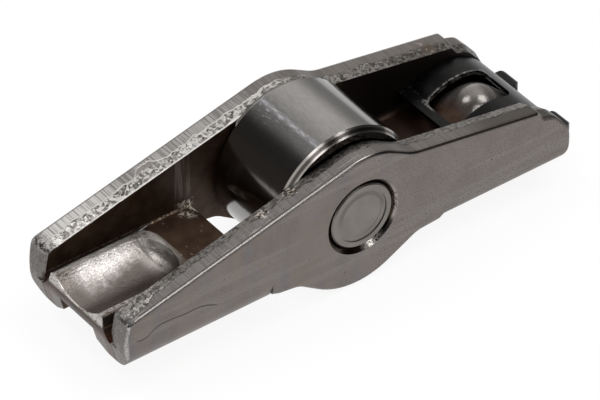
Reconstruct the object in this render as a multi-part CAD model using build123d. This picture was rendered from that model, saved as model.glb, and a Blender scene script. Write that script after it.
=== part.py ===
from build123d import *
import math
import os

# Rocker arm: a pressed steel finger follower with a roller on needles and a spring clip.
# Millimetres. X runs along the arm, valve end at -X and ball socket end at +X.
# Y runs across it and Z is up. The origin is the middle of the roller's axis.

# Driving sizes, everything else is placed from these.
ARM_WIDTH = 18.0
SHEET = 3.0
PIN_DIAMETER = 8.0
NEEDLE_COUNT = 18
ROLLER_WALL = 3.35
CLIP_SHEET = 0.5

HALF_WIDTH = ARM_WIDTH / 2
INNER_FACE = HALF_WIDTH - SHEET
REACH = 40.0

# Side walls, all sizes seen from the side as (x, z).
END_TOP = (-30.4, 0.62)
END_NOSE = (-31.1, -2.7)
END_FOOT = (-30.0, -7.0)
EYE_TOP = (1.52, 8.33)
EYE_TOP_RADIUS = 7.8
EYE_VALLEY = (6.7, 5.4)
PEAK = (23.8, 2.53)
NOTCH = (24.55, 1.45)
SHOULDER = (26.1, 0.95)
HEEL_TOP = (28.4, -1.7)
HEEL_RADIUS = 3.2
HEEL_FOOT_RADIUS = 2.0
EYE_BOTTOM = (-1.35, -10.32)
EYE_BOTTOM_RADIUS = 9.2
PAD_WAIST = (-8.4, -5.5)
SOCKET_WAIST = (7.4, -5.8)
WAIST_RADIUS = 3.0
WAIST_RISE = 0.85
ROLLED_EDGE = 0.45
BREAK_BAND = 1.25
BREAK_DROP = 0.36
BREAK_END = -3.4
END_EDGE = 1.1

# Webs that join the walls.
PAD_WEB_TOP = -2.2
PAD_WEB_BOTTOM = PAD_WEB_TOP - SHEET
PAD_WEB_END = -11.9
SOCKET_WEB_TOP = -2.75
SOCKET_WEB_BOTTOM = SOCKET_WEB_TOP - SHEET
SOCKET_BEND = 1.35
SOCKET_WEB_START = 11.3
SOCKET_WEB_END = 27.3

# Valve pad end: folded feet, ridges, trough and sliding pad.
FOLD_DEPTH = -6.15
FOLD_RADIUS = 3.0
FOLD_WIDTH = 4.4
FOLD_RUN_OUT = (-14.2, -12.5)
GUIDE_HALF = INNER_FACE - 3.0
RIDGE_TOP = -1.0
RIDGE_HALF = INNER_FACE - 0.9
RIDGE_LAND = 1.3
RIDGE_END = -18.2
CREASE_BOTTOM = (INNER_FACE + 0.1, -3.6)
CREASE_RUN_OUT = (-22.5, -17.0)
TROUGH_FLOOR = -2.3
TROUGH_END = -21.2
TROUGH_END_LENGTH = 4.1
PAD_RADIUS = 20.0
PAD_CONTACT = (-24.6, -4.5)
PAD_STOP = (-20.5, -17.5)

# Ball socket and the dome pressed up over it.
SOCKET_CENTRE = (22.2, -6.0)
SOCKET_RADIUS = 4.2
DOME_RADIUS = 3.4
DOME_TOP = 1.0
DOME_SLOPE = 44.0
DOME_FILLET = 0.8

# Roller, pin and needles. The needles fill the ring between pin and roller.
ROLLER_GAP = 0.22
ROLLER_BEVEL = (0.75, 0.5)
NEEDLE_PLAY = 0.05
NEEDLE_SPACE = 0.076
NEEDLE_END_GAP = 0.45
NEEDLE_TURN = math.sin(math.pi / NEEDLE_COUNT)
NEEDLE_DIAMETER = ((PIN_DIAMETER + NEEDLE_PLAY) * NEEDLE_TURN - NEEDLE_SPACE) / (1 - NEEDLE_TURN)
ROLLER_BORE = PIN_DIAMETER / 2 + NEEDLE_DIAMETER + NEEDLE_PLAY
ROLLER_RADIUS = ROLLER_BORE + ROLLER_WALL
PIN_RECESS = 0.18
PIN_BEVEL = 0.15
STAKED_RING = 0.76
BORE_CHAMFER = 0.65

# Clip: one strip, arched over the dome, down the end and forked beneath.
CLIP_ARCH_RADIUS = 7.15
CLIP_CENTRE = (22.05, -6.0)
CLIP_FRONT = 16.1
CLIP_LEVEL = -0.25
CLIP_HOLE_HALF = INNER_FACE - 3.25
CLIP_HOLE_LEFT = 17.3
CLIP_HOLE_RIGHT = 25.3
CLIP_HOLE_CORNER = 1.1
FORK_TOP = -8.1
FORK_HALF = INNER_FACE - 0.8
FORK_MOUTH = 3.1
FORK_TIP = 19.0
LUG_TOP = -4.1
LUG_REACH = 2.0
LUG_DROP = 1.9
LUG_OUTER = INNER_FACE - 0.05
LUG_INNER = LUG_OUTER - 2.9
LUG_OUT = CLIP_CENTRE[0] + CLIP_ARCH_RADIUS + LUG_REACH
LUG_ROOT = CLIP_CENTRE[0] - CLIP_SHEET / 2 + math.sqrt(
    CLIP_ARCH_RADIUS ** 2 - (LUG_TOP - CLIP_CENTRE[1]) ** 2)


def rounded_outline(corners, plane):
    """Closed face from (a, b, radius) corners, each rounded by its own radius."""
    edges = []
    count = len(corners)
    starts = []
    ends = []
    for i in range(count):
        ax, ay, _ = corners[i - 1]
        bx, by, radius = corners[i]
        cx, cy, _ = corners[(i + 1) % count]
        before = Vector(ax - bx, ay - by).normalized()
        after = Vector(cx - bx, cy - by).normalized()
        corner = Vector(bx, by)
        if radius == 0:
            starts.append(corner)
            ends.append(corner)
            continue
        half = before.get_angle(after) / 2
        back = radius / math.tan(math.radians(half))
        middle = (before + after).normalized()
        reach = radius / math.sin(math.radians(half)) - radius
        first = corner + before * back
        last = corner + after * back
        edges.append(ThreePointArc(first, corner + middle * reach, last))
        starts.append(first)
        ends.append(last)
    for i in range(count):
        if (ends[i - 1] - starts[i]).length > 1e-6:
            edges.append(Line(ends[i - 1], starts[i]))
    face = make_face(edges)
    return plane * face


def side_prism(corners, half_span):
    """Outline seen from the side, made solid across the arm."""
    face = rounded_outline(corners, Plane.XZ)
    return extrude(face, half_span, both=True)


def cross_prism(corners, x_from, x_to):
    """Outline seen along the arm, made solid from x_from to x_to."""
    plane = Plane(origin=(x_from, 0, 0), x_dir=(0, 1, 0), z_dir=(1, 0, 0))
    return extrude(rounded_outline(corners, plane), x_to - x_from)


def box_between(x, y, z):
    low = Vector(x[0], y[0], z[0])
    high = Vector(x[1], y[1], z[1])
    size = high - low
    return Pos(*((low + high) * 0.5)) * Box(size.X, size.Y, size.Z)


def cross_cylinder(radius, length, x=0.0, z=0.0, y=0.0):
    return Pos(x, y, z) * Rot(90, 0, 0) * Cylinder(radius, length)


def wall_outline():
    """Upper and end outline of a side wall; its lower side lies below everything else."""
    under = EYE_BOTTOM[1] - 1
    return [
        (*END_TOP, 1.0),
        (*EYE_TOP, EYE_TOP_RADIUS),
        (*EYE_VALLEY, 5.0),
        (*PEAK, 0.5),
        (*NOTCH, 0.5),
        (*SHOULDER, 2.0),
        (*HEEL_TOP, HEEL_RADIUS),
        (HEEL_TOP[0] - 0.05, SOCKET_WEB_BOTTOM - 0.05, HEEL_FOOT_RADIUS),
        (PEAK[0], SOCKET_WEB_BOTTOM - 0.05, 0.0),
        (PEAK[0], under, 0.0),
        (END_FOOT[0] + 2, under, 0.0),
        (*END_FOOT, 0.0),
        (*END_NOSE, 5.0),
    ]


def wall_plates():
    """Both walls between the webs, with the lower edge under the eye rolled over."""
    top = EYE_TOP[1] + 2
    pad_edge = FOLD_DEPTH + 1.35
    socket_edge = SOCKET_WEB_BOTTOM + 0.75
    plates = side_prism([
        (PAD_WEB_END - 0.01, top, 0.0),
        (SOCKET_WEB_START + 0.01, top, 0.0),
        (SOCKET_WEB_START + 0.01, socket_edge, 0.0),
        (SOCKET_WEB_START - WAIST_RISE, SOCKET_WAIST[1] + 0.2, 0.8),
        (*SOCKET_WAIST, WAIST_RADIUS),
        (*EYE_BOTTOM, EYE_BOTTOM_RADIUS),
        (*PAD_WAIST, WAIST_RADIUS),
        (PAD_WEB_END + WAIST_RISE, PAD_WAIST[1] + 0.38, 0.8),
        (PAD_WEB_END - 0.01, pad_edge, 0.0),
    ], HALF_WIDTH)

    def on_lower_rim(edge):
        middle = edge.center()
        flat = edge.bounding_box().size.Y < 1e-4
        return flat and middle.Z < 0 and abs(abs(middle.Y) - HALF_WIDTH) < 1e-4

    plates = fillet(plates.edges().filter_by(on_lower_rim), ROLLED_EDGE)
    hollow = box_between((-REACH, REACH), (-INNER_FACE, INNER_FACE), (-REACH, REACH))
    return plates - hollow


def pad_end():
    """Valve end: walls folded under, ridges with the trough and the sliding pad."""
    right = [
        (HALF_WIDTH, 12.0, 0.0),
        (HALF_WIDTH, FOLD_DEPTH, FOLD_RADIUS),
        (HALF_WIDTH - FOLD_WIDTH, FOLD_DEPTH, 1.2),
        (GUIDE_HALF, PAD_WEB_BOTTOM, 0.5),
    ]
    left = [(-y, z, r) for y, z, r in reversed(right)]
    inside = [
        (-INNER_FACE, 12.0, 0.0),
        (-INNER_FACE, PAD_WEB_TOP, 0.3),
        (INNER_FACE, PAD_WEB_TOP, 0.3),
        (INNER_FACE, 12.0, 0.0),
    ]
    folded = cross_prism(right + left + inside, END_NOSE[0] - 1, PAD_WEB_END)
    run_out = side_prism([
        (FOLD_RUN_OUT[0], FOLD_DEPTH, 6.0),
        (FOLD_RUN_OUT[1], PAD_WEB_BOTTOM, 4.0),
        (0.0, PAD_WEB_BOTTOM, 0.0),
        (0.0, -12.0, 0.0),
        (-40.0, -12.0, 0.0),
        (-40.0, FOLD_DEPTH, 0.0),
    ], REACH)
    folded -= run_out
    ridge = [
        (-RIDGE_HALF, PAD_WEB_TOP - 1.0, 0.0),
        (-RIDGE_HALF + 0.45, RIDGE_TOP, 0.35),
        (RIDGE_HALF - 0.45, RIDGE_TOP, 0.35),
        (RIDGE_HALF, PAD_WEB_TOP - 1.0, 0.0),
    ]
    block = cross_prism(ridge, END_NOSE[0] - 1, RIDGE_END)
    plan = rounded_outline([
        (-40.0, -RIDGE_HALF, 0.0),
        (-40.0, RIDGE_HALF, 0.0),
        (RIDGE_END, RIDGE_HALF, 3.0),
        (RIDGE_END, -RIDGE_HALF, 3.0),
    ], Plane.XY)
    block &= Pos(0, 0, -8) * extrude(plan, 10)
    folded += block
    crease = [
        (CREASE_BOTTOM[0] - 0.2, CREASE_BOTTOM[1], 0.15),
        (CREASE_BOTTOM[0] + 0.2, CREASE_BOTTOM[1], 0.15),
        (INNER_FACE, PAD_WEB_TOP + 0.2, 0.0),
        (INNER_FACE, RIDGE_TOP + 1.0, 0.0),
        (RIDGE_HALF, RIDGE_TOP + 1.0, 0.0),
        (RIDGE_HALF, PAD_WEB_TOP - 0.2, 0.0),
    ]
    groove = cross_prism(crease, END_NOSE[0] - 1, CREASE_RUN_OUT[1])
    groove &= side_prism([
        (END_NOSE[0] - 2, CREASE_BOTTOM[1] - 1, 0.0),
        (CREASE_RUN_OUT[0], CREASE_BOTTOM[1] - 0.1, 3.0),
        (CREASE_RUN_OUT[1], PAD_WEB_TOP, 0.0),
        (CREASE_RUN_OUT[1], RIDGE_TOP + 1.0, 0.0),
        (END_NOSE[0] - 2, RIDGE_TOP + 1.0, 0.0),
    ], HALF_WIDTH)
    folded -= groove + mirror(groove, Plane.XZ)
    half_mouth = RIDGE_HALF - RIDGE_LAND
    depth = RIDGE_TOP - TROUGH_FLOOR
    radius = (half_mouth ** 2 + depth ** 2) / (2 * depth)
    trough = Pos(END_NOSE[0] - 1, 0, TROUGH_FLOOR + radius) * Rot(0, 90, 0) * Cylinder(
        radius, TROUGH_END - END_NOSE[0] + 1, align=(Align.CENTER, Align.CENTER, Align.MIN))
    trough_end = scale(Sphere(radius), by=(TROUGH_END_LENGTH / radius, 1, 1))
    folded -= trough
    folded -= Pos(TROUGH_END, 0, TROUGH_FLOOR + radius) * trough_end
    below = FOLD_DEPTH - 1
    relief = side_prism([
        (END_NOSE[0] - 2, below, 0.0),
        (END_NOSE[0] - 2, PAD_WEB_TOP, 0.0),
        (PAD_STOP[0], PAD_WEB_TOP, 0.0),
        (PAD_STOP[0], PAD_CONTACT[1] + 0.6, 1.0),
        (PAD_STOP[1], PAD_WEB_BOTTOM - 0.1, 0.0),
        (PAD_STOP[1], below, 0.0),
    ], GUIDE_HALF)
    relief -= cross_cylinder(PAD_RADIUS, 4 * GUIDE_HALF, PAD_CONTACT[0], PAD_CONTACT[1] + PAD_RADIUS)
    folded -= relief
    return folded


def socket_end():
    """Ball socket end: plain channel with the dome pressed up from below."""
    right = [
        (HALF_WIDTH, 12.0, 0.0),
        (HALF_WIDTH, SOCKET_WEB_BOTTOM, SOCKET_BEND),
    ]
    left = [(-y, z, r) for y, z, r in reversed(right)]
    inside = [
        (-INNER_FACE, 12.0, 0.0),
        (-INNER_FACE, SOCKET_WEB_TOP, 0.8),
        (INNER_FACE, SOCKET_WEB_TOP, 0.8),
        (INNER_FACE, 12.0, 0.0),
    ]
    channel = cross_prism(right + left + inside, SOCKET_WEB_START, 32.0)
    under = SOCKET_WEB_BOTTOM - 1
    channel -= box_between((SOCKET_WEB_END, REACH), (-INNER_FACE, INNER_FACE), (under, 12))
    crown = DOME_RADIUS * math.tan(math.radians(DOME_SLOPE / 2))
    foot = crown + (DOME_TOP - SOCKET_WEB_TOP) / math.tan(math.radians(DOME_SLOPE))
    root = SOCKET_WEB_TOP - 0.5
    profile = rounded_outline([
        (0.0, root, 0.0),
        (0.0, DOME_TOP, 0.0),
        (crown, DOME_TOP, DOME_RADIUS),
        (foot, SOCKET_WEB_TOP, DOME_FILLET),
        (foot + 2 * DOME_FILLET, SOCKET_WEB_TOP, 0.0),
        (foot + 2 * DOME_FILLET, root, 0.0),
    ], Plane.XZ)
    dome = Pos(SOCKET_CENTRE[0], 0, 0) * revolve(profile, Axis.Z)
    dome &= box_between((SOCKET_WEB_START, SOCKET_WEB_END), (-INNER_FACE, INNER_FACE), (under, 12))
    channel += dome
    channel -= Pos(SOCKET_CENTRE[0], 0, SOCKET_CENTRE[1]) * Sphere(SOCKET_RADIUS)
    return channel


def rolled_edges(body):
    """Outer edges of the walls that the shearing die has rolled over."""
    pad_bend = FOLD_DEPTH + FOLD_RADIUS
    socket_bend = SOCKET_WEB_BOTTOM + SOCKET_BEND

    def on_rim(edge):
        middle = edge.center()
        size = edge.bounding_box().size
        along = size.Y < 1e-4 and size.X > 1e-4
        above = middle.Z > (pad_bend if middle.X < 0 else socket_bend) + 0.01
        return along and above and abs(abs(middle.Y) - HALF_WIDTH) < 1e-4

    return body.edges().filter_by(on_rim)


def broken_bands():
    """What the shearing break takes off the inner part of the walls' sheared faces."""
    face = rounded_outline(wall_outline(), Plane.XZ)
    slant = math.degrees(math.atan(BREAK_DROP / BREAK_BAND))
    edge = INNER_FACE + BREAK_BAND
    kept = extrude(Pos(0, edge, 0) * face, BREAK_BAND, dir=(0, -1, 0), taper=slant)
    band = box_between((-REACH, REACH), (INNER_FACE, edge), (BREAK_END, REACH)) - kept
    return band + mirror(band, Plane.XZ)


def arm_body():
    """The one pressed sheet: both walls, both webs, bores and edges."""
    body = pad_end() + wall_plates() + socket_end()
    body &= side_prism(wall_outline(), HALF_WIDTH)
    body -= broken_bands()
    rounded_ends = rounded_outline([
        (END_NOSE[0], -HALF_WIDTH, END_EDGE),
        (END_NOSE[0], HALF_WIDTH, END_EDGE),
        (REACH, HALF_WIDTH, 0.0),
        (REACH, -HALF_WIDTH, 0.0),
    ], Plane.XY)
    body &= extrude(rounded_ends, REACH, both=True)
    body = fillet(rolled_edges(body), ROLLED_EDGE)
    body -= cross_cylinder(PIN_DIAMETER / 2, 2 * ARM_WIDTH)
    for side in (-1, 1):
        mouth = Cone(PIN_DIAMETER / 2, PIN_DIAMETER / 2 + BORE_CHAMFER, BORE_CHAMFER)
        body -= Pos(0, side * (HALF_WIDTH - BORE_CHAMFER / 2), 0) * Rot(-90 * side, 0, 0) * mouth
    return body


def axle_pin():
    """Staked pin with a shallow disc set into each end."""
    half = HALF_WIDTH - PIN_RECESS
    pin = cross_cylinder(PIN_DIAMETER / 2, 2 * half)
    pin = chamfer(pin.edges().filter_by(GeomType.CIRCLE), PIN_BEVEL)
    for side in (-1, 1):
        pin -= cross_cylinder(PIN_DIAMETER / 2 - STAKED_RING, 0.24, y=side * half)
    return pin


def roller():
    """Hardened outer ring, bevelled at both ends."""
    half = INNER_FACE - ROLLER_GAP
    along, deep = ROLLER_BEVEL
    profile = rounded_outline([
        (ROLLER_BORE, -half + 0.3, 0.0),
        (ROLLER_BORE + 0.3, -half, 0.0),
        (ROLLER_RADIUS - deep, -half, 0.0),
        (ROLLER_RADIUS, -half + along, 0.0),
        (ROLLER_RADIUS, half - along, 0.0),
        (ROLLER_RADIUS - deep, half, 0.0),
        (ROLLER_BORE + 0.3, half, 0.0),
        (ROLLER_BORE, half - 0.3, 0.0),
    ], Plane.XY)
    return revolve(profile, Axis.Y)


def needle(index):
    """One of the loose needles around the pin."""
    orbit = (PIN_DIAMETER + NEEDLE_DIAMETER + NEEDLE_PLAY) / 2
    angle = 2 * math.pi * index / NEEDLE_COUNT
    length = 2 * (INNER_FACE - NEEDLE_END_GAP)
    body = Cylinder(NEEDLE_DIAMETER / 2, length)
    return Pos(orbit * math.sin(angle), 0, orbit * math.cos(angle)) * Rot(90, 0, 0) * body


def clip_lug():
    """Tab that stands out from the end band and hooks down."""
    hook = rounded_outline([
        (LUG_ROOT, LUG_TOP, 0.0),
        (LUG_OUT, LUG_TOP, 0.9),
        (LUG_OUT, LUG_TOP - LUG_DROP, 0.2),
        (LUG_OUT - CLIP_SHEET, LUG_TOP - LUG_DROP, 0.2),
        (LUG_OUT - CLIP_SHEET, LUG_TOP - CLIP_SHEET, 0.4),
        (LUG_ROOT, LUG_TOP - CLIP_SHEET, 0.0),
    ], Plane.XZ)
    plan = rounded_outline([
        (LUG_ROOT, LUG_INNER, 0.0),
        (LUG_OUT, LUG_INNER, 1.0),
        (LUG_OUT, LUG_OUTER, 1.0),
        (LUG_ROOT, LUG_OUTER, 0.0),
    ], Plane.XY)
    return extrude(hook, 2 * REACH, both=True) & (Pos(0, 0, -8) * extrude(plan, 10))


def retaining_clip():
    """Spring clip: bar, arms beside the dome, end band, fork and two lugs."""
    cx, cz = CLIP_CENTRE
    outer = CLIP_ARCH_RADIUS
    inner = outer - CLIP_SHEET
    under = CLIP_LEVEL - CLIP_SHEET
    turn = 1.0
    fork_low = FORK_TOP - CLIP_SHEET
    knee = fork_low + turn + CLIP_SHEET / 2

    def arch_point(radius, degrees):
        angle = math.radians(degrees)
        return (cx + radius * math.cos(angle), cz + radius * math.sin(angle))

    outer_left = 180 - math.degrees(math.asin((CLIP_LEVEL - cz) / outer))
    inner_left = 180 - math.degrees(math.asin((under - cz) / inner))
    right = cx + outer
    bend_x = right - turn - CLIP_SHEET / 2
    slope = math.sqrt(0.5)
    big = turn + CLIP_SHEET / 2
    small = turn - CLIP_SHEET / 2
    strip = make_face([
        Line((CLIP_FRONT, CLIP_LEVEL), arch_point(outer, outer_left)),
        ThreePointArc(arch_point(outer, outer_left), arch_point(outer, 70), arch_point(outer, 0)),
        Line((right, cz), (right, knee)),
        ThreePointArc((right, knee), (bend_x + big * slope, knee - big * slope), (bend_x, fork_low)),
        Line((bend_x, fork_low), (FORK_TIP, fork_low)),
        Line((FORK_TIP, fork_low), (FORK_TIP, FORK_TOP)),
        Line((FORK_TIP, FORK_TOP), (bend_x, FORK_TOP)),
        ThreePointArc((bend_x, FORK_TOP), (bend_x + small * slope, knee - small * slope),
                      (right - CLIP_SHEET, knee)),
        Line((right - CLIP_SHEET, knee), (right - CLIP_SHEET, cz)),
        ThreePointArc(arch_point(inner, 0), arch_point(inner, 70), arch_point(inner, inner_left)),
        Line(arch_point(inner, inner_left), (CLIP_FRONT, under)),
        Line((CLIP_FRONT, under), (CLIP_FRONT, CLIP_LEVEL)),
    ])
    clip = extrude(Plane.XZ * strip, INNER_FACE, both=True)
    hole = rounded_outline([
        (CLIP_HOLE_LEFT, -CLIP_HOLE_HALF, CLIP_HOLE_CORNER),
        (CLIP_HOLE_LEFT, CLIP_HOLE_HALF, CLIP_HOLE_CORNER),
        (CLIP_HOLE_RIGHT, CLIP_HOLE_HALF, CLIP_HOLE_CORNER),
        (CLIP_HOLE_RIGHT, -CLIP_HOLE_HALF, CLIP_HOLE_CORNER),
    ], Plane.XY)
    clip -= Pos(0, 0, -2.5) * extrude(hole, 6)
    for side in (-1, 1):
        trim = box_between((0, REACH), (FORK_HALF, 2 * FORK_HALF), (-12, FORK_TOP + 1.8))
        clip -= trim if side > 0 else mirror(trim, Plane.XZ)
    throat = FORK_MOUTH - 0.25
    mouth = Pos(cx, 0) * Circle(FORK_MOUTH) + rounded_outline([
        (FORK_TIP - 1, -FORK_MOUTH - 0.6, 0.0),
        (FORK_TIP + 0.8, -throat, 0.4),
        (cx, -throat, 0.0),
        (cx, throat, 0.0),
        (FORK_TIP + 0.8, throat, 0.4),
        (FORK_TIP - 1, FORK_MOUTH + 0.6, 0.0),
    ], Plane.XY)
    clip -= Pos(0, 0, fork_low - 1) * extrude(mouth, 2.5)
    lug = clip_lug()
    return clip + lug + mirror(lug, Plane.XZ)


def build():
    pieces = {
        "arm_body": arm_body(),
        "axle_pin": axle_pin(),
        "roller": roller(),
        "retaining_clip": retaining_clip(),
    }
    for index in range(NEEDLE_COUNT):
        pieces[f"needle_{index + 1:02d}"] = needle(index)
    os.makedirs("parts", exist_ok=True)
    for name, piece in pieces.items():
        export_step(piece, f"parts/{name}.step")


build()
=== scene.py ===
"""Dressed scene of the rocker arm: camera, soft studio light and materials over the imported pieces.

Lengths are millimetres of the arm's own frame, with +X to the ball socket, +Y along the roller's axis and
+Z up, unless a comment says metres. Colours are linear red, green and blue. A pair of colours goes from
its first to its second.
"""
import math

import bpy
from mathutils import Matrix, Vector


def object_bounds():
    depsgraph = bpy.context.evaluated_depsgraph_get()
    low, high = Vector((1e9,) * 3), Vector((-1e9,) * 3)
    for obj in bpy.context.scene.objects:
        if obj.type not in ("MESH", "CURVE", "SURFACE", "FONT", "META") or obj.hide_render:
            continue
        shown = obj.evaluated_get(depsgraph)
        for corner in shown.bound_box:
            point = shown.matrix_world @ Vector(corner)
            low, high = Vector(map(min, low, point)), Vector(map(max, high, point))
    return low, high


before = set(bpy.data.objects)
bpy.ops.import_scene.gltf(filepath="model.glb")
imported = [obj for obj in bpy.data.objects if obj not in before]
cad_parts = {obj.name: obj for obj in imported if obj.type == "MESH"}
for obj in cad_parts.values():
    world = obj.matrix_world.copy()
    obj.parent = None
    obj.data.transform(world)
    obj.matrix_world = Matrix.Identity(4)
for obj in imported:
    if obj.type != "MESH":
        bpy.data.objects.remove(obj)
cad_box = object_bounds()

# Metres in a millimetre, and millimetres in a metre.
MM = 0.001
METRE = 1000.0

# Camera: a long lens looking down on the arm from the valve end's near side.
AZIMUTH = math.radians(-36.60)
ELEVATION = math.radians(39.49)
ROLL = math.radians(-0.43)
FOCAL_PIXELS = 5364.0
PICTURE_WIDTH = 600.0
SENSOR = 36.0
DISTANCE = 567.3
AIM = (0.0, -8.98, 0.0)
SIDE_STEP = -6.69
RISE_STEP = 1.78
NEAREST_METRES = 0.01
FARTHEST_METRES = 20.0

# Studio: what the camera sees, what lights the arm, and what mirrors in it.
WHITE = (1.0, 1.0, 1.0)
FILL_COLOUR = (1.0, 0.985, 0.97)
FILL_STRENGTH = 0.8
MIRRORED_COLOUR = (1.0, 0.985, 0.965)

# Mirrored sky by direction: a change from one direction to another, and the brightness at both.
SKY_VALVE_TO_SOCKET = (-0.5, 0.5, 0.05, 1.4)
SKY_SOCKET_END = (0.56, 0.80, 1.0, 0.30)
SKY_FRONT_TO_BACK = (-0.2, 0.4, 0.12, 1.0)

# Mirrored strip in front of the valve end, which shows as a crescent on the roller's bevel.
STRIP_FRONT = (-0.58, -0.50, 0.0, 1.3)
STRIP_BACK = (-0.42, -0.34, 1.0, 0.0)
STRIP_SOCKET_SIDE = (-0.15, 0.15, 1.0, 0.0)
STRIP_LOWER = (0.15, 0.35, 0.0, 1.0)

# Oval lamps, aimed at the roller: name, place, width, height and power.
LAMPS = (
    ("overhead", (296, -92, 640), 350, 350, 1.50),
    ("behind", (-195, 272, 610), 270, 270, 0.86),
    ("front", (-110, -330, 612), 420, 150, 0.40),
    ("low_front", (85, -500, 455), 110, 110, 0.07),
)

# Floor: half its side in metres, its own grey, and how much of it is plain white to the eye.
FLOOR_HALF = 1.2
FLOOR_GREY = (0.9, 0.9, 0.9)
FLOOR_WHITE_SHARE = 0.9

# Places and widths on the pressed sheet.
HALF_WIDTH = 9.0
INNER_FACE = 6.0
TORN_EDGE = 7.25
TORN_WANDER = 1.5
BULGE = (-17.6, -15.0)
BULGE_WIDTH = 0.9
NEAR_TIP_WIDTH = 1.1
TROUGH_END = -18.4
TROUGH_HALF = 4.0
TROUGH_FRONT = -30.8
DOME = (22.2, 0.0)
BORE_BEVEL = 4.66
SOCKET_END_EDGE = 24.6
RIDGE_RUBS = (-13.8, -11.7)
BRUISE_PLACE = (-12.6, 5.3)
OIL_PLACE = (20.9, 6.9)
BURR_PLACES = ((-11.9, -7.0, 0.75), (-7.9, -6.7, 0.85))

# Stretches along the arm: a look begins at the first x and is complete at the second.
VALVE_HALF = (3.0, -2.0)
SOCKET_TIP = (13.0, 18.0)
NEAR_TIP = (-25.5, -28.0)
MOTTLED_TIP = (-28.7, -29.7)
PURPLE_TO_VALVE = (2.0, -8.0)
STAINS_TO_VALVE = (8.0, -2.0)
GRIT_TO_SOCKET = (-8.0, 8.0)
FAR_HIGHLIGHT_TO_VALVE = (1.0, -9.0)
PALEST_HIGHLIGHT_TO_TIP = (-19.0, -24.0)
TORN_HIGHLIGHT_TO_VALVE = (12.0, -8.0)
TORN_BRIGHTEST_HIGHLIGHT_TO_TIP = (-20.5, -25.0)
TORN_PALER_TO_TIP = (-22.5, -26.5)
FLECKED_WEB = (-10.0, -13.0)
CORNER_GLEAM = (-13.0, -14.5)
CREASES = (-17.0, -18.0)
DARK_WEB_TO_SOCKET = (10.5, 11.5)
DARK_WALL_TO_SOCKET = (6.5, 9.5)
HIGHLIGHT_FROM_FRONT = (-29.8, -27.6)
HIGHLIGHT_FROM_REAR = (-20.8, -22.8)
PALE_TROUGH_REAR = (-22.2, -20.4)

# Fold line on the near face below the trough, as (x, z) points.
LAP_LINE = (
    (-29.7, -1.88),
    (-29.0, -2.07),
    (-28.2, -1.99),
    (-26.9, -1.30),
    (-25.2, -1.21),
    (-23.3, -1.39),
    (-21.4, -1.43),
    (-18.8, -2.49),
)
LAP_SPAN = (-29.5, -19.3)

# Outer faces.
SATIN = (0.170, 0.147, 0.135), (0.202, 0.176, 0.164)
SATIN_PURPLE = (0.184, 0.170, 0.176)
SATIN_STREAK = (0.232, 0.212, 0.197)
GRIT_DARK = (0.118, 0.104, 0.094)
GRIT_PALE = (0.240, 0.220, 0.205)
STAIN_WARM = (0.205, 0.172, 0.146)
STAIN_COOL = (0.158, 0.156, 0.170)
CUT_END = (0.135, 0.121, 0.112), (0.285, 0.268, 0.256)
# Painted highlight on the rounded corners at the wall ends.
ROUNDED_CORNER_HIGHLIGHT = (0.46, 0.44, 0.43)
LAP_AND_PITS = (0.080, 0.066, 0.058)

# Burnished band of the rim, painted paler as a highlight on the far wall's valve half.
BURNISH_PALEST_HIGHLIGHT = (0.27, 0.26, 0.25), (0.55, 0.54, 0.53)
BURNISH_STREAKY_HIGHLIGHT = (0.165, 0.154, 0.149), (0.36, 0.349, 0.34)
BURNISH_DULL = (0.132, 0.122, 0.119), (0.176, 0.165, 0.161)
BURNISH_DRAGGED = (0.30, 0.288, 0.282)
BURNISH_MATT = (0.118, 0.106, 0.098), (0.166, 0.151, 0.140)
BURNISH_SOCKET = (0.074, 0.066, 0.060)

# Torn band of the rim, its facets painted bright as highlights on the far wall's valve half.
TEAR_FAR_HIGHLIGHT = (0.052, 0.045, 0.039), (0.60, 0.58, 0.56)
TEAR_FAR_HIGHLIGHT_TIP = (0.14, 0.125, 0.11), (0.80, 0.78, 0.76)
TEAR_BULGE = (0.24, 0.222, 0.21)
TEAR_DULL = (0.040, 0.034, 0.030), (0.25, 0.235, 0.222)
TEAR_DULL_SOCKET = (0.030, 0.025, 0.022), (0.175, 0.163, 0.152)
TEAR_DULL_TIP = (0.055, 0.048, 0.043), (0.44, 0.42, 0.405)

# Edges and wear of the rim: painted highlight lines along the torn band and the inner seam, the rolled edge
# painted as a glint on the valve half and as a dark reflection elsewhere, a line of painted shade inside it,
# then oil, a mottled tip and burrs.
TORN_LIP_HIGHLIGHT = (0.72, 0.71, 0.69)
INNER_SEAM_HIGHLIGHT = (0.66, 0.64, 0.62)
ROLLED_EDGE_GLINT_AND_SHADE = (0.12, 0.105, 0.097), (0.50, 0.48, 0.46)
ROLLED_SHADE = (0.085, 0.075, 0.070)
OILED_TEAR = (0.100, 0.078, 0.063), (0.42, 0.40, 0.38)
TIP_MOTTLE = (0.13, 0.12, 0.115), (0.42, 0.405, 0.395)
BURR = (0.045, 0.032, 0.024), (0.60, 0.55, 0.50)

# Hollow between the walls.
BROWN = (0.038, 0.018, 0.009), (0.068, 0.040, 0.024)
BROWN_SOCKET_WEB = (0.026, 0.012, 0.007)
BROWN_SOCKET_WALL = (0.010, 0.006, 0.0045)
RUBBED_WALL = (0.125, 0.098, 0.080)
BRUISE = (0.75, 0.68, 0.60)
FLECK = (0.26, 0.22, 0.19)
RUST = (0.030, 0.009, 0.004), (0.105, 0.036, 0.013)
# Painted shade over the rust in the creases' upper part.
CREASE_PAINTED_SHADE = (0.014, 0.005, 0.002)
# Painted highlight along the ridge corner.
RIDGE_CORNER_HIGHLIGHT = (0.34, 0.255, 0.20)

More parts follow.
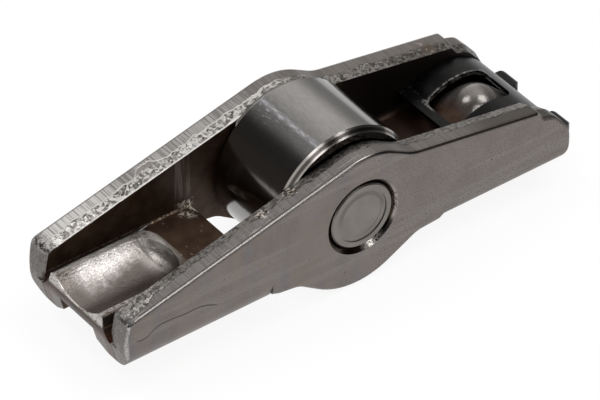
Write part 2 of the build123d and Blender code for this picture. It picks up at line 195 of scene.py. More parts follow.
# Coined trough, dome and bore.
# Trough: a painted highlight on its polished part, and painted shade darkening it towards the near side.
TROUGH_POLISHED_HIGHLIGHT = (0.34, 0.315, 0.295), (0.54, 0.515, 0.495)
TROUGH_PATCH = (0.24, 0.22, 0.205)
TROUGH_SHADE_TO_NEAR = (0.140, 0.120, 0.108), (0.055, 0.041, 0.032)
TROUGH_REAR = (0.40, 0.375, 0.350), (0.15, 0.132, 0.118)
TROUGH_LIP = (0.48, 0.455, 0.43)
TROUGH_LAND = (0.32, 0.30, 0.285)
DOME_SILVER = (0.145, 0.134, 0.125), (0.180, 0.168, 0.158)
DOME_COPPER = (0.120, 0.060, 0.040), (0.215, 0.145, 0.110)
# Bore bevel: its dark colour and a painted highlight line on its outer edge, then the painted highlight on an
# arc below.
BORE_DARK_AND_EDGE_HIGHLIGHT = (0.040, 0.029, 0.022), (0.30, 0.27, 0.245)
BORE_LIT = (0.95, 0.90, 0.85)

# Roller: radii where its rim and bevel begin and where the bevel's band of painted shade lies, then colours.
ROLLER_RIM = (8.6, 8.8)
ROLLER_BEVEL = (8.2, 8.3)
ROLLER_BEVEL_SHADE = (8.62, 8.84)
ROLLER_DARK = (0.195, 0.190, 0.187), (0.225, 0.218, 0.212)
ROLLER_HAIR = (0.255, 0.246, 0.238)
ROLLER_BROWN = (0.30, 0.255, 0.222)
ROLLER_STREAK = (0.38, 0.38, 0.40)
# Painted highlight band and its scratchy lines at a fixed angle round the roller.
ROLLER_HIGHLIGHT_BAND = (0.44, 0.44, 0.47)
ROLLER_SCRATCHY_HIGHLIGHT = (0.60, 0.60, 0.63)
# End faces of the roller, painted dark as shade.
ROLLER_FACE_SHADE = (0.08, 0.072, 0.068)
ROLLER_BEVEL_HIGHLIGHT = (0.27, 0.253, 0.24)
ROLLER_BEVEL_SHADE_COLOUR = (0.060, 0.055, 0.052)

# Pin and needles: the groove round the pin's disc by radius, then colours.
PIN_DISC_RING = (2.55, 3.05)
PIN_GREY = (0.190, 0.173, 0.160), (0.222, 0.203, 0.189)
PIN_RING_SHADE = (0.150, 0.136, 0.122)
NEEDLE_GREY = (0.38, 0.38, 0.39), (0.48, 0.48, 0.49)

# Clip: the hole over the dome and the span of its end bend by the lugs, which takes a painted sheen, then
# colours.
CLIP_HOLE_MIDDLE = 21.3
CLIP_HOLE_HALF_LENGTH = 4.0
CLIP_HOLE_HALF_WIDTH = 2.75
CLIP_END_SHEEN_SPAN = (26.6, 28.6)
CLIP_BLACK = (0.0035, 0.0032, 0.0032), (0.0075, 0.0068, 0.0068)
CLIP_RUBBED = (0.15, 0.14, 0.135)
CLIP_HOLE_HIGHLIGHT = (0.16, 0.155, 0.15)
CLIP_END_SHEEN = (0.036, 0.032, 0.031)


class Tree:
    """Short ways to add and join nodes. A mask is 1 where its layer shows and 0 elsewhere."""

    def __init__(self, tree):
        self.tree = tree
        tree.nodes.clear()

    def add(self, kind, **settings):
        node = self.tree.nodes.new(kind)
        for key, value in settings.items():
            setattr(node, key, value)
        return node

    def join(self, source, target):
        """Links an output to a socket, or sets the socket to a number or colour."""
        if isinstance(source, tuple) and target.type == "RGBA":
            target.default_value = source + (1.0,)
        elif isinstance(source, (int, float, tuple)):
            target.default_value = source
        else:
            self.tree.links.new(source, target)

    def joined(self, node, *sources):
        """First output of a node whose first sockets take the sources in turn."""
        for source, target in zip(sources, node.inputs):
            self.join(source, target)
        return node.outputs[0]

    def axes(self, vector):
        parts = self.add("ShaderNodeSeparateXYZ")
        self.join(vector, parts.inputs[0])
        return parts.outputs[0], parts.outputs[1], parts.outputs[2]

    def math(self, operation, a, b=0.0, c=0.0):
        return self.joined(self.add("ShaderNodeMath", operation=operation), a, b, c)

    def fade(self, value, low, high, at_low, at_high):
        """Smooth change from one number to another as the value rises from low to high."""
        node = self.add("ShaderNodeMapRange", interpolation_type="SMOOTHSTEP")
        self.join(value, node.inputs["Value"])
        node.inputs["From Min"].default_value = low
        node.inputs["From Max"].default_value = high
        node.inputs["To Min"].default_value = at_low
        node.inputs["To Max"].default_value = at_high
        return node.outputs[0]

    def both(self, *masks):
        """Product of masks, or of a mask and the strength it is held down to."""
        result = masks[0]
        for mask in masks[1:]:
            result = self.math("MULTIPLY", result, mask)
        return result

    def either(self, *masks):
        result = masks[0]
        for mask in masks[1:]:
            result = self.math("MAXIMUM", result, mask)
        return result


def camera():
    back = Vector((math.sin(AZIMUTH) * math.cos(ELEVATION),
                   -math.cos(AZIMUTH) * math.cos(ELEVATION),
                   math.sin(ELEVATION)))
    right = Vector((math.cos(AZIMUTH), math.sin(AZIMUTH), 0.0))
    up = back.cross(right)
    tilted_right = right * math.cos(ROLL) + up * math.sin(ROLL)
    tilted_up = up * math.cos(ROLL) - right * math.sin(ROLL)
    place = Vector(AIM) + tilted_right * SIDE_STEP + tilted_up * RISE_STEP + back * DISTANCE
    data = bpy.data.cameras.new("camera")
    data.sensor_width = SENSOR
    data.lens = FOCAL_PIXELS / PICTURE_WIDTH * SENSOR
    data.clip_start = NEAREST_METRES
    data.clip_end = FARTHEST_METRES
    held = bpy.data.objects.new("camera", data)
    turn = Matrix((tilted_right, tilted_up, back)).transposed().to_4x4()
    held.matrix_world = Matrix.Translation(place * MM) @ turn
    bpy.context.scene.collection.objects.link(held)
    bpy.context.scene.camera = held


def studio_world():
    """White to the camera; in reflections a pale sky behind the arm, dim over its valve end and in front."""
    world = bpy.data.worlds.new("studio")
    world.use_nodes = True
    bpy.context.scene.world = world
    t = Tree(world.node_tree)
    x, y, z = t.axes(t.add("ShaderNodeTexCoord").outputs["Generated"])
    sky = t.both(t.fade(x, *SKY_VALVE_TO_SOCKET), t.fade(x, *SKY_SOCKET_END), t.fade(y, *SKY_FRONT_TO_BACK))
    strip = t.both(t.fade(y, *STRIP_FRONT), t.fade(y, *STRIP_BACK),
                   t.fade(x, *STRIP_SOCKET_SIDE), t.fade(z, *STRIP_LOWER))
    seen = t.joined(t.add("ShaderNodeBackground"), WHITE)
    fill = t.joined(t.add("ShaderNodeBackground"), FILL_COLOUR, FILL_STRENGTH)
    mirrored = t.joined(t.add("ShaderNodeBackground"), MIRRORED_COLOUR, t.math("ADD", sky, strip))
    path = t.add("ShaderNodeLightPath")
    unseen = t.joined(t.add("ShaderNodeMixShader"), path.outputs["Is Glossy Ray"], fill, mirrored)
    final = t.joined(t.add("ShaderNodeMixShader"), path.outputs["Is Camera Ray"], unseen, seen)
    t.join(final, t.add("ShaderNodeOutputWorld").inputs[0])


def soft_box(name, place, width, height, power):
    """An oval lamp aimed at the roller."""
    data = bpy.data.lights.new(name, "AREA")
    data.shape = "ELLIPSE"
    data.size = width * MM
    data.size_y = height * MM
    data.energy = power
    lamp = bpy.data.objects.new(name, data)
    lamp.location = Vector(place) * MM
    lamp.rotation_euler = (-lamp.location).to_track_quat("-Z", "Y").to_euler()
    bpy.context.scene.collection.objects.link(lamp)


def pale_floor(level):
    """Floor under the arm, white but for a soft shadow; its level is in metres."""
    mesh = bpy.data.meshes.new("floor")
    corners = [(-FLOOR_HALF, -FLOOR_HALF, level), (FLOOR_HALF, -FLOOR_HALF, level),
               (FLOOR_HALF, FLOOR_HALF, level), (-FLOOR_HALF, FLOOR_HALF, level)]
    mesh.from_pydata(corners, [], [(0, 1, 2, 3)])
    ground = bpy.data.objects.new("floor", mesh)
    bpy.context.scene.collection.objects.link(ground)
    material = bpy.data.materials.new("floor")
    material.use_nodes = True
    t = Tree(material.node_tree)
    path = t.add("ShaderNodeLightPath")
    lit = t.joined(t.add("ShaderNodeBsdfDiffuse"), FLOOR_GREY)
    glow = t.joined(t.add("ShaderNodeEmission"), WHITE)
    shown = t.math("MAXIMUM", path.outputs["Is Camera Ray"], path.outputs["Is Glossy Ray"])
    mixed = t.joined(t.add("ShaderNodeMixShader"), t.both(shown, FLOOR_WHITE_SHARE), lit, glow)
    t.join(mixed, t.add("ShaderNodeOutputMaterial").inputs[0])
    mesh.materials.append(material)


class Wiring(Tree):
    """The nodes of one material, in millimetres of the arm's frame."""

    def __init__(self, name):
        self.material = bpy.data.materials.new(name)
        self.material.use_nodes = True
        super().__init__(self.material.node_tree)
        self.shader = self.add("ShaderNodeBsdfPrincipled")
        self.join(self.shader.outputs[0], self.add("ShaderNodeOutputMaterial").inputs[0])
        coordinates = self.add("ShaderNodeTexCoord")
        scaled = self.add("ShaderNodeVectorMath", operation="SCALE")
        scaled.inputs["Scale"].default_value = METRE
        self.join(coordinates.outputs["Object"], scaled.inputs[0])
        self.place = scaled.outputs[0]
        self.normal = coordinates.outputs["Normal"]

    def step(self, value, low, high):
        """0 at low, 1 at high and a smooth change between; low may be above high."""
        if low > high:
            return self.fade(value, high, low, 1.0, 0.0)
        return self.fade(value, low, high, 0.0, 1.0)

    def band(self, value, low, high, soft):
        """1 between low and high, fading over soft on both sides."""
        return self.both(self.step(value, low - soft, low + soft), self.step(value, high + soft, high - soft))

    def arc(self, angle, low, high, soft):
        """Band of an angle, with its limits in degrees."""
        return self.band(angle, math.radians(low), math.radians(high), math.radians(soft))

    def reach(self, a, b, a_middle=0.0, b_middle=0.0):
        """Distance in a plane from a middle."""
        along = self.math("POWER", self.math("SUBTRACT", a, a_middle), 2.0)
        across = self.math("POWER", self.math("SUBTRACT", b, b_middle), 2.0)
        return self.math("SQRT", self.math("ADD", along, across))

    def spot(self, a, b, middle, radius, soft):
        """1 within radius of a middle given as two coordinates."""
        return self.step(self.reach(a, b, *middle), radius + soft, radius - soft)

    def weighted(self, a, share_a, b, share_b):
        """Sum of two values, each times its share."""
        return self.math("MULTIPLY_ADD", a, share_a, self.math("MULTIPLY", b, share_b))

    def noise(self, scale, detail=3.0, stretch=(1, 1, 1), rough=0.55, shift=0.0):
        """Noise with its coarsest size set by scale, in parts per millimetre."""
        spread = self.add("ShaderNodeVectorMath", operation="MULTIPLY_ADD")
        self.joined(spread, self.place, stretch, (shift, shift, shift))
        node = self.add("ShaderNodeTexNoise")
        self.join(spread.outputs[0], node.inputs["Vector"])
        node.inputs["Scale"].default_value = scale
        node.inputs["Detail"].default_value = detail
        node.inputs["Roughness"].default_value = rough
        return node.outputs[0]

    def cells(self, scale):
        """Random number per ragged cell, with scale cells per millimetre."""
        bend = self.add("ShaderNodeTexNoise")
        self.join(self.place, bend.inputs["Vector"])
        bend.inputs["Scale"].default_value = 2.0 * scale
        raggedness = 0.9 / scale
        spread = self.add("ShaderNodeVectorMath", operation="MULTIPLY_ADD")
        self.joined(spread, bend.outputs["Color"], (raggedness, raggedness, raggedness), self.place)
        node = self.add("ShaderNodeTexVoronoi")
        self.join(spread.outputs[0], node.inputs["Vector"])
        node.inputs["Scale"].default_value = scale
        return self.axes(node.outputs["Color"])[0]

    def line(self, value, points):
        """Smooth curve through (value, result) points; values rise and results lie within 10 of 0."""
        limit = 10.0
        first = points[0][0]
        span = points[-1][0] - first
        share = self.math("DIVIDE", self.math("SUBTRACT", value, first), span)
        node = self.add("ShaderNodeFloatCurve")
        curve = node.mapping.curves[0]
        while len(curve.points) < len(points):
            curve.points.new(0.5, 0.5)
        for handle, (a, b) in zip(curve.points, points):
            handle.location = ((a - first) / span, (b + limit) / (2.0 * limit))
        node.mapping.update()
        self.join(share, node.inputs["Value"])
        return self.math("MULTIPLY_ADD", node.outputs[0], 2.0 * limit, -limit)

    def between(self, factor, a, b):
        """Numbers a to b by factor."""
        node = self.add("ShaderNodeMix", data_type="FLOAT")
        self.join(factor, node.inputs[0])
        self.join(a, node.inputs[2])
        self.join(b, node.inputs[3])
        return node.outputs[0]

    def tint(self, factor, a, b):
        """Colours a to b by factor."""
        node = self.add("ShaderNodeMix", data_type="RGBA")
        self.join(factor, node.inputs[0])
        self.join(a, node.inputs[6])
        self.join(b, node.inputs[7])
        return node.outputs[2]

    def grade(self, value, low, high, pair):
        """The pair's first colour where the value is low and its second where it is high."""
        return self.tint(self.step(value, low, high), *pair)

    def paint(self, base, *layers):
        """Lays (mask, colour) layers over a base colour, the last on top."""
        for mask, colour in layers:
            base = self.tint(mask, base, colour)
        return base

    def lay(self, base, *layers):
        """Lays (mask, number) layers over a base number, the last on top."""
        for mask, number in layers:
            base = self.between(mask, base, number)
        return base

    def finish(self, colour, roughness, height, depth, metallic=1.0):
        """Joins the shader; the relief's height of 0 to 1 stands for depth millimetres."""
        self.join(colour, self.shader.inputs["Base Color"])
        self.join(roughness, self.shader.inputs["Roughness"])
        self.join(metallic, self.shader.inputs["Metallic"])
        bump = self.add("ShaderNodeBump")
        bump.inputs["Strength"].default_value = 1.0
        bump.inputs["Distance"].default_value = depth * MM
        self.join(height, bump.inputs["Height"])
        self.join(bump.outputs[0], self.shader.inputs["Normal"])
        return self.material


class SheetSteel(Wiring):
    """Pressed sheet: satin faces, sheared rims, brown hollows, a trough with a painted highlight and painted
    shade, and a bright dome.
    """

    def __init__(self):
        super().__init__("sheet_steel")
        self.find_directions()
        self.make_textures()
        self.mark_faces()
        self.mark_rim()
        self.mark_hollow()
        self.mark_trough()
        self.mark_dome_and_bore()

    def find_directions(self):
        """Coordinates, slopes and halves of the arm."""
        self.x, self.y, self.z = self.axes(self.place)
        self.nx, ny, self.nz = self.axes(self.normal)
        self.side = self.math("ABSOLUTE", self.y)
        self.facing = self.math("ABSOLUTE", ny)
        self.far = self.step(self.y, -1.0, 1.0)
        self.near = self.step(self.y, 1.0, -1.0)
        self.valve_half = self.step(self.x, *VALVE_HALF)
        self.socket_tip = self.step(self.x, *SOCKET_TIP)
        self.rising = self.step(self.nz, 0.1, 0.3)
        self.upward = self.step(self.nz, 0.3, 0.5)

    def make_textures(self):
        """Textures that several layers share."""
        self.cloud = self.noise(0.22, 3.0)
        self.coarse = self.noise(0.6, 3.0, shift=11.0)
        self.grain = self.noise(5.0, 4.0)
        self.fine = self.noise(16.0, 2.0)
        self.score = self.noise(9.0, 1.0, stretch=(1.0, 0.02, 0.1))
        self.cross_streaks = self.noise(0.95, 2.0, stretch=(1.0, 0.25, 0.25), shift=19.0)
        self.chip = self.cells(3.6)
        self.rubble = self.noise(2.0, 5.0, rough=0.7, shift=5.0)
        self.dots = self.noise(1.7, 2.0, shift=21.0)

    def mark_faces(self):
        """Outer faces with a fold line and pits, and the cut ends of both walls."""
        self.on_wall = self.step(self.side, INNER_FACE - 0.06, INNER_FACE + 0.02)
        self.at_edge = self.step(self.side, HALF_WIDTH - 0.5, HALF_WIDTH - 0.42)
        outside = self.both(self.step(self.facing, 0.9, 0.97),
                            self.step(self.side, HALF_WIDTH - 0.1, HALF_WIDTH - 0.02))
        from_lap = self.math("ABSOLUTE", self.math("SUBTRACT", self.z, self.line(self.x, LAP_LINE)))
        self.lap = self.both(outside, self.near, self.band(self.x, *LAP_SPAN, 0.3),
                             self.step(from_lap, 0.13, 0.04))
        self.pits = self.both(outside, self.step(self.dots, 0.735, 0.750))
        self.ends = self.both(self.step(self.nx, -0.55, -0.85), self.on_wall)
        # Rounded corner between a wall's end and outer face, painted pale as a highlight.
        self.rounding = self.both(self.band(self.nx, -0.88, -0.42, 0.12), self.on_wall,
                                  self.step(self.nz, 0.55, 0.35))

    def mark_rim(self):
        """Sheared rim: a burnished band outside, a torn one inside and a ragged line between them, with
        painted highlight lines, a painted glint and painted shade along its edges.
        """
        self.rim = self.both(self.on_wall, self.step(self.facing, 0.8, 0.55), self.upward)
        self.bulge = self.both(self.far, self.band(self.x, *BULGE, 0.8))
        near_tip = self.both(self.near, self.step(self.x, *NEAR_TIP))
        wander = self.noise(0.55, 4.0, stretch=(1.0, 0.3, 1.0), shift=7.0)
        limit = self.math("MULTIPLY_ADD", wander, TORN_WANDER, TORN_EDGE - TORN_WANDER / 2)
        limit = self.math("ADD", limit, self.math("MULTIPLY", self.bulge, BULGE_WIDTH))
        limit = self.math("MULTIPLY_ADD", near_tip, NEAR_TIP_WIDTH, limit)
        self.inside = self.math("SUBTRACT", limit, self.side)
        self.torn = self.both(self.rim, self.step(self.inside, -0.05, 0.05))
        # Ragged line between the bands, and the inner seam: painted highlight lines on the far wall's valve
        # half.
        self.lip = self.both(self.rim, self.far, self.valve_half,
                             self.step(self.math("ABSOLUTE", self.inside), 0.12, 0.03))
        self.seam = self.both(self.rim, self.far, self.valve_half,
                              self.step(self.side, INNER_FACE + 0.22, INNER_FACE + 0.12))
        self.notch = self.both(self.at_edge, self.step(self.x, SOCKET_END_EDGE - 0.6, SOCKET_END_EDGE),
                               self.rising)
        # Rolled outer edge, whose colour is a painted glint on the valve half and a painted dark reflection
        # elsewhere. A line of painted shade lies inside it.
        self.rolled = self.both(self.band(self.facing, 0.42, 0.88, 0.08), self.at_edge, self.rising,
                                self.step(self.x, SOCKET_END_EDGE, SOCKET_END_EDGE - 0.6))
        self.rolled_shade = self.both(self.band(self.facing, 0.12, 0.36, 0.06), self.at_edge,
                                      self.valve_half, self.upward)

    def mark_hollow(self):
        """Space between the walls: its two faces, the creases beside the trough, a painted highlight along
        the ridge corner and rubbed spots.
        """
        self.inner_wall = self.both(self.step(self.side, INNER_FACE + 0.12, INNER_FACE + 0.03),
                                    self.step(self.facing, 0.6, 0.85))
        self.web = self.both(self.step(self.side, INNER_FACE + 0.02, INNER_FACE - 0.06),
                             self.step(self.nz, -0.3, 0.1))
        self.hollow = self.either(self.inner_wall, self.web)
        self.crease = self.both(self.band(self.side, 4.9, 6.4, 0.06), self.step(self.z, -1.9, -2.6),
                                self.step(self.x, *CREASES), self.step(self.nz, -0.6, 0.0))
        # Ridge corner, where a painted highlight lies in patches.
        self.corner = self.both(self.band(self.side, 5.8, 6.1, 0.05), self.band(self.z, -2.2, -1.98, 0.05),
                                self.step(self.x, *CORNER_GLEAM), self.step(self.rubble, 0.42, 0.56))
        lines = self.noise(3.2, 3.0, stretch=(1.0, 1.0, 0.03), shift=2.0)
        self.rubs = self.both(self.inner_wall, self.far, self.band(self.x, *RIDGE_RUBS, 0.2),
                              self.step(self.z, -1.8, 0.5), self.step(self.z, 6.4, 4.6),
                              self.step(lines, 0.47, 0.60))
        self.bruise = self.both(self.spot(self.x, self.y, BRUISE_PLACE, 1.1, 0.5),
                                self.band(self.z, -2.3, -1.3, 0.1), self.step(self.rubble, 0.47, 0.56))
        self.flecks = self.both(self.web, self.step(self.dots, 0.66, 0.70),
                                self.step(self.x, *FLECKED_WEB), self.step(self.grain, 0.48, 0.56))

    def mark_trough(self):
        """Coined trough: its slanting part that takes a painted highlight, its rear, its front lip and the
        lands on both sides.
        """
        self.in_trough = self.both(self.step(self.x, TROUGH_END + 0.3, TROUGH_END - 0.3),
                                   self.step(self.side, TROUGH_HALF + 0.95, TROUGH_HALF + 0.75),
                                   self.step(self.z, -2.45, -2.3), self.step(self.nz, 0.0, 0.15))
        mottle = self.math("MULTIPLY_ADD", self.noise(1.4, 4.0, shift=15.0), 2.6, -1.3)
        slant = self.math("MULTIPLY_ADD", self.x, -0.30, self.math("ADD", mottle, -7.4))
        # Slanting part of the trough that takes the painted highlight.
        self.slant_highlight = self.both(self.step(self.math("ADD", self.y, slant), 0.3, 2.3),
                               self.step(self.x, *HIGHLIGHT_FROM_FRONT), self.step(self.x, *HIGHLIGHT_FROM_REAR))
        self.rear = self.both(self.step(self.x, *PALE_TROUGH_REAR), self.step(self.y, -3.0, 0.4))
        self.front_lip = self.both(self.in_trough, self.step(self.x, TROUGH_FRONT + 0.08, TROUGH_FRONT),
                                   self.step(self.rubble, 0.36, 0.50))
        self.land = self.both(self.band(self.side, TROUGH_HALF - 0.1, TROUGH_HALF + 0.35, 0.1),
                              self.in_trough, self.step(self.z, -1.3, -1.1))

    def mark_dome_and_bore(self):
        """Dome with its flank towards the roller, and the bevel of the pin's bore."""
        self.dome = self.both(self.step(self.reach(self.x, self.y, *DOME), 5.2, 3.9),
                              self.step(self.z, -2.5, -1.6), self.rising)
        self.dome_flank = self.step(self.x, DOME[0] - 1.6, DOME[0] - 3.4)
        self.from_bore = self.reach(self.x, self.z)
        self.bevel = self.both(self.step(self.from_bore, BORE_BEVEL + 0.04, BORE_BEVEL),
                               self.step(self.side, 8.2, 8.3), self.step(self.facing, 0.97, 0.85))

    def satin(self):
        """Tumbled grey of the outer faces: clouds, streaks, grit and stains, with a painted highlight on the
        rounded corners at the wall ends.
        """
        bands = self.noise(0.9, 3.0, stretch=(0.06, 1.0, 1.0), shift=13.0)
        stain = self.noise(0.55, 2.0, stretch=(1.0, 1.0, 0.12), shift=25.0)
        gritty = self.between(self.step(self.x, *GRIT_TO_SOCKET), 0.45, 0.9)
        stained = self.step(self.x, *STAINS_TO_VALVE)
        purple = self.both(self.step(self.coarse, 0.45, 0.75), self.step(self.x, *PURPLE_TO_VALVE))
        return self.paint(
            self.grade(self.cloud, 0.35, 0.65, SATIN),
            (purple, SATIN_PURPLE),
            (self.both(self.step(bands, 0.50, 0.66), 0.7), SATIN_STREAK),
            (self.both(self.step(self.grain, 0.50, 0.38), gritty), GRIT_DARK),
            (self.both(self.step(self.fine, 0.52, 0.66), gritty), GRIT_PALE),
            (self.both(self.step(stain, 0.50, 0.62), stained, 0.4), STAIN_WARM),
            (self.both(self.step(stain, 0.48, 0.36), stained, 0.4), STAIN_COOL),
            (self.ends, self.grade(self.rubble, 0.40, 0.62, CUT_END)),
            (self.both(self.rounding, self.step(self.rubble, 0.36, 0.52)), ROUNDED_CORNER_HIGHLIGHT),
            (self.either(self.lap, self.pits), LAP_AND_PITS))

    def hollow_layers(self):
        """Brown film between the walls, darker by the socket, with rust in the creases, painted near black
        over their upper part as shade.
        """
        # Rust in the creases, going over to painted shade from z -3.4 up to -2.3.
        rust = self.tint(self.step(self.z, -3.4, -2.3), self.grade(self.grain, 0.35, 0.7, RUST), CREASE_PAINTED_SHADE)
        return [
            (self.hollow, self.grade(self.coarse, 0.3, 0.7, BROWN)),
            (self.both(self.web, self.step(self.x, *DARK_WEB_TO_SOCKET)), BROWN_SOCKET_WEB),
            (self.both(self.inner_wall, self.step(self.x, *DARK_WALL_TO_SOCKET)), BROWN_SOCKET_WALL),
            (self.rubs, RUBBED_WALL),
            (self.bruise, BRUISE),
            (self.flecks, FLECK),
            (self.crease, rust),
            (self.corner, RIDGE_CORNER_HIGHLIGHT),
        ]

    def trough_layers(self):
        """Steel painted darker towards the near side as shade, polished along a slant under a painted
        highlight, with a paler rear, lip and lands.
        """
        patchy = self.both(self.step(self.cross_streaks, 0.40, 0.56), 0.55)
        polished = self.tint(patchy, self.grade(self.grain, 0.38, 0.60, TROUGH_POLISHED_HIGHLIGHT), TROUGH_PATCH)
        coined = self.paint(
            self.grade(self.y, -0.4, -2.4, TROUGH_SHADE_TO_NEAR),
            (self.rear, self.grade(self.cross_streaks, 0.40, 0.58, TROUGH_REAR)),
            (self.slant_highlight, polished))
        return [
            (self.in_trough, coined),
            (self.front_lip, TROUGH_LIP),
            (self.both(self.land, self.step(self.rubble, 0.35, 0.6)), TROUGH_LAND),
        ]

    def dome_colour(self):
        """Silver crown over a coppery flank towards the roller."""
        silver = self.grade(self.coarse, 0.35, 0.65, DOME_SILVER)
        copper = self.grade(self.coarse, 0.3, 0.7, DOME_COPPER)
        return self.tint(self.dome_flank, silver, copper)

    def burnish(self):
        """Burnished band with its streaks and drag marks: painted pale as a highlight on the far wall's valve
        half, dull on the near one, matt by the socket.
        """
        streaks = self.step(self.score, 0.38, 0.60)
        drag = self.noise(4.0, 3.0, stretch=(0.04, 1.0, 0.3), shift=9.0)
        dragged = self.both(self.step(drag, 0.60, 0.66), self.step(self.side, 7.6, 8.1))
        pale = self.tint(self.step(self.x, *PALEST_HIGHLIGHT_TO_TIP),
                         self.tint(streaks, *BURNISH_STREAKY_HIGHLIGHT), self.tint(streaks, *BURNISH_PALEST_HIGHLIGHT))
        dull = self.tint(dragged, self.tint(streaks, *BURNISH_DULL), BURNISH_DRAGGED)
        matt = self.tint(self.both(self.near, self.socket_tip),
                         self.tint(streaks, *BURNISH_MATT), BURNISH_SOCKET)
        # The far wall's valve half takes the painted highlight. The near wall and the socket half stay dull
        # or matt.
        return self.tint(self.both(self.far, self.step(self.x, *FAR_HIGHLIGHT_TO_VALVE)),
                         self.tint(self.valve_half, matt, dull), pale)

    def tear(self):
        """Torn band of small facets, painted bright as highlights on the far wall's valve half and dull
        elsewhere.
        """
        facet = self.weighted(self.step(self.chip, 0.12, 0.80), 0.75, self.step(self.grain, 0.42, 0.60), 0.25)
        bright = self.paint(
            self.tint(facet, *TEAR_FAR_HIGHLIGHT),
            (self.step(self.x, *TORN_BRIGHTEST_HIGHLIGHT_TO_TIP), self.tint(facet, *TEAR_FAR_HIGHLIGHT_TIP)),
            (self.both(self.bulge, self.step(self.inside, 0.9, 0.5)), TEAR_BULGE))
        dull = self.paint(
            self.tint(facet, *TEAR_DULL),
            (self.socket_tip, self.tint(facet, *TEAR_DULL_SOCKET)),
            (self.step(self.x, *TORN_PALER_TO_TIP), self.tint(facet, *TEAR_DULL_TIP)))
        # The far wall's valve half takes facets painted bright as highlights.
        return self.tint(self.both(self.far, self.step(self.x, *TORN_HIGHLIGHT_TO_VALVE)), dull, bright)

    def rim_layers(self):
        """Burnished and torn bands with painted highlight lines along them, and the rolled outer edge painted
        as a glint on the valve half and as a dark reflection elsewhere, with a line of painted shade inside
        it.
        """
        return [
            (self.rim, self.burnish()),
            (self.torn, self.tear()),
            (self.lip, TORN_LIP_HIGHLIGHT),
            (self.seam, INNER_SEAM_HIGHLIGHT),
            (self.rolled, self.tint(self.valve_half, *ROLLED_EDGE_GLINT_AND_SHADE)),
            (self.rolled_shade, ROLLED_SHADE),
        ]

    def bevel_colour(self):
        """Bevel of the bore: dark, with a painted highlight line along its outer edge on one side and a
        painted highlight on an arc below.
        """
        turn = self.math("ARCTAN2", self.z, self.x)
        ring = self.noise(4.5, 2.0, shift=17.0)
        lit_arc = self.both(self.arc(turn, -88.0, -54.0, 7.0), self.step(ring, 0.30, 0.55))
        # Painted highlight line along the bevel's outer edge on one side.
        outer_edge_highlight = self.both(self.arc(turn, -52.0, 60.0, 12.0), self.step(self.from_bore, 4.36, 4.44))
        return self.tint(lit_arc, self.tint(outer_edge_highlight, *BORE_DARK_AND_EDGE_HIGHLIGHT), BORE_LIT)

    def wear_layers(self):
        """Oil on the far rim, the mottled tip and two burrs on the near rim."""
        oiled = self.both(self.rim, self.far, self.spot(self.x, self.y, OIL_PLACE, 0.9, 0.9))
        tip = self.both(self.rim, self.step(self.x, *MOTTLED_TIP))
        burrs = [self.spot(self.x, self.y, (x, y), radius, 0.2) for x, y, radius in BURR_PLACES]
        burr = self.both(self.either(*burrs), self.rim, self.step(self.rubble, 0.42, 0.50))
        return [
            (oiled, self.grade(self.chip, 0.84, 0.88, OILED_TEAR)),
            (tip, self.grade(self.rubble, 0.44, 0.60, TIP_MOTTLE)),
            (burr, self.grade(self.chip, 0.62, 0.66, BURR)),
        ]

    def colour(self):
        """All colours in the order in which they lie over each other."""
        return self.paint(
            self.satin(),
            *self.hollow_layers(),
            *self.trough_layers(),
            (self.dome, self.dome_colour()),
            *self.rim_layers(),
            (self.bevel, self.bevel_colour()),
            *self.wear_layers())

    def roughness(self):
        """Satin faces; the bore's bevel and the dome are the smoothest."""
        return self.lay(
            0.40,
            (self.hollow, 0.5),
            (self.in_trough, 0.30),
            (self.dome, 0.19),
            (self.rim, 0.36),
            (self.torn, 0.35),
            (self.either(self.bevel, self.rolled), 0.22),
            (self.notch, 0.65))

    def relief(self):
        """Fine grain on the faces, pebbles in the trough and on the dome, rubble where the steel tore."""
        pebbled = self.math("MULTIPLY", self.noise(3.4, 3.0, shift=3.0), 1.2)
        scored = self.math("MULTIPLY", self.score, self.between(self.far, 0.12, 0.6))
        rough_ends = self.both(self.ends, self.step(self.rubble, 0.48, 0.66))
        return self.lay(
            self.weighted(self.fine, 0.22, self.grain, 0.30),
            (self.rim, scored),
            (self.in_trough, pebbled),
            (self.dome, self.math("MULTIPLY", pebbled, 0.36)),
            (self.either(self.torn, rough_ends), self.weighted(self.chip, 2.2, self.rubble, 2.6)),
            (self.either(self.rolled, self.rolled_shade), 0.3))

    def made(self):
        """The finished material, with a relief of 0.05 mm."""
        metallic = self.lay(1.0, (self.hollow, 0.7), (self.crease, 0.15))
        return self.finish(self.colour(), self.roughness(), self.relief(), 0.05, metallic)


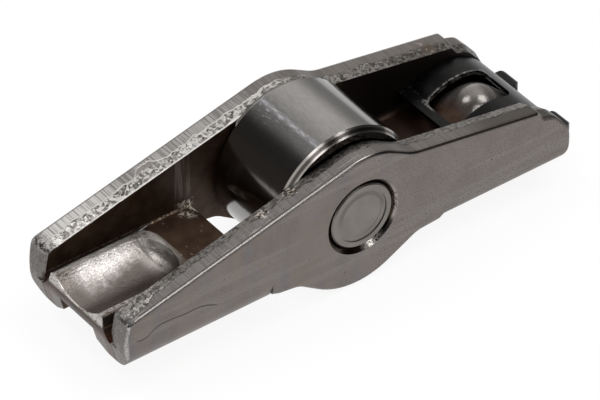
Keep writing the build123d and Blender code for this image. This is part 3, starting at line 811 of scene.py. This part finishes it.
def roller_steel():
    """Ground and hardened ring, dark, with a few streaks rubbed bright along it at random places; a painted
    highlight band with scratchy lines at a fixed angle round it, end faces painted dark as shade, and a bevel
    painted as highlight lines with a band of painted shade between them.
    """
    w = Wiring("roller_steel")
    x, y, z = w.axes(w.place)
    facing = w.math("ABSOLUTE", w.axes(w.normal)[1])
    radius = w.reach(x, z)
    around = w.math("ARCTAN2", x, z)
    outside = w.step(radius, *ROLLER_RIM)
    bevel = w.both(w.band(facing, 0.3, 0.9, 0.05), w.step(radius, *ROLLER_BEVEL))

    cloud = w.noise(0.3, 3.0, stretch=(1.0, 0.4, 1.0))
    rubbed = w.noise(1.1, 4.0, stretch=(1.0, 0.05, 1.0))
    hair = w.noise(7.0, 3.0, stretch=(1.0, 0.15, 1.0), shift=6.0)
    specks = w.noise(5.0, 5.0, rough=0.75, shift=2.0)

    streak = w.both(w.step(rubbed, 0.68, 0.78), w.step(specks, 0.42, 0.60))
    waver = w.math("MULTIPLY_ADD", specks, 0.04, w.math("ADD", around, -0.02))
    # Painted highlight band at a fixed angle, with scratchy lines beside it.
    highlight_band = w.both(outside, w.arc(waver, -20.6, -18.2, 2.4),
                  w.math("MULTIPLY_ADD", w.step(hair, 0.36, 0.60), 0.6, 0.4))
    scratchy_highlight = w.both(outside, w.arc(around, -34.0, -18.0, 5.0), w.step(y, -1.0, 3.5),
                       w.step(hair, 0.60, 0.68))
    colour = w.paint(
        w.grade(cloud, 0.3, 0.7, ROLLER_DARK),
        (w.both(w.step(hair, 0.42, 0.62), 0.5), ROLLER_HAIR),
        (w.both(outside, w.arc(around, -62.0, -48.0, 6.0)), ROLLER_BROWN),
        (streak, ROLLER_STREAK),
        (highlight_band, ROLLER_HIGHLIGHT_BAND),
        (scratchy_highlight, ROLLER_SCRATCHY_HIGHLIGHT),
        # End faces painted dark as shade.
        (w.step(facing, 0.9, 0.97), ROLLER_FACE_SHADE),
        # Bevel painted pale as highlight lines at its edges, with a band of painted shade between them.
        (bevel, ROLLER_BEVEL_HIGHLIGHT),
        (w.both(bevel, w.band(radius, *ROLLER_BEVEL_SHADE, 0.04)), ROLLER_BEVEL_SHADE_COLOUR))
    roughness = w.between(w.either(streak, highlight_band), 0.14, 0.30)
    return w.finish(colour, roughness, w.weighted(rubbed, 0.6, specks, 0.35), 0.007)


def pin_steel():
    """Turned end of the staked pin, with the disc's ring painted darker on its upper half as shade."""
    w = Wiring("pin_steel")
    x, _, z = w.axes(w.place)
    cloud = w.noise(0.5, 3.0)
    grain = w.noise(6.0, 3.0)
    ring = w.band(w.reach(x, z), *PIN_DISC_RING, 0.08)
    colour = w.paint(
        w.grade(cloud, 0.3, 0.7, PIN_GREY),
        # Painted shade of the ring's groove, on its upper half.
        (w.both(ring, w.step(z, -0.6, 0.8)), PIN_RING_SHADE))
    return w.finish(colour, 0.38, w.weighted(ring, -2.0, grain, 0.6), 0.02)


def needle_steel():
    """Drawn and polished needle."""
    w = Wiring("needle_steel")
    cloud = w.noise(1.5, 3.0)
    drawn = w.noise(4.0, 3.0, stretch=(1.0, 0.05, 1.0))
    return w.finish(w.grade(cloud, 0.3, 0.7, NEEDLE_GREY), w.between(drawn, 0.2, 0.32), drawn, 0.005)


def clip_steel():
    """Black finish on spring steel, rubbed grey where it bends, with a painted highlight along the far edge
    of the hole and a painted sheen over its end bend by the lugs.
    """
    w = Wiring("clip_steel")
    x, y, _ = w.axes(w.place)
    cloud = w.noise(0.6, 3.0)
    grain = w.noise(9.0, 3.0)
    scuff = w.noise(1.6, 5.0, rough=0.72, shift=4.0)
    rubbed = w.both(w.step(scuff, 0.58, 0.66), w.step(x, 19.2, 17.6), w.step(y, 2.4, 3.4))
    past_end = w.math("SUBTRACT", w.math("ABSOLUTE", w.math("SUBTRACT", x, CLIP_HOLE_MIDDLE)),
                      CLIP_HOLE_HALF_LENGTH)
    past_side = w.math("SUBTRACT", w.math("ABSOLUTE", y), CLIP_HOLE_HALF_WIDTH)
    # Painted highlight along the far edge of the hole, in patches.
    hole_edge_highlight = w.both(w.step(w.either(past_end, past_side), 0.30, 0.12), w.step(y, 0.5, 1.5),
                   w.step(scuff, 0.42, 0.54))
    colour = w.paint(
        w.grade(cloud, 0.3, 0.7, CLIP_BLACK),
        (rubbed, CLIP_RUBBED),
        (hole_edge_highlight, CLIP_HOLE_HIGHLIGHT),
        # Painted sheen over the clip's end bend by the lugs.
        (w.band(x, *CLIP_END_SHEEN_SPAN, 0.8), CLIP_END_SHEEN))
    return w.finish(colour, 0.34, w.weighted(grain, 0.4, cloud, 0.5), 0.02, 0.9)


def dress(material, *nodes):
    for name in nodes:
        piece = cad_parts[name]
        piece.data.materials.clear()
        piece.data.materials.append(material)


bpy.context.scene.view_settings.view_transform = "Standard"
camera()
studio_world()
pale_floor(cad_box[0][2])
for lamp in LAMPS:
    soft_box(*lamp)

dress(SheetSteel().made(), "arm_body")
dress(roller_steel(), "roller")
dress(pin_steel(), "axle_pin")
dress(clip_steel(), "retaining_clip")
dress(needle_steel(), *[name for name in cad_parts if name.startswith("needle_")])
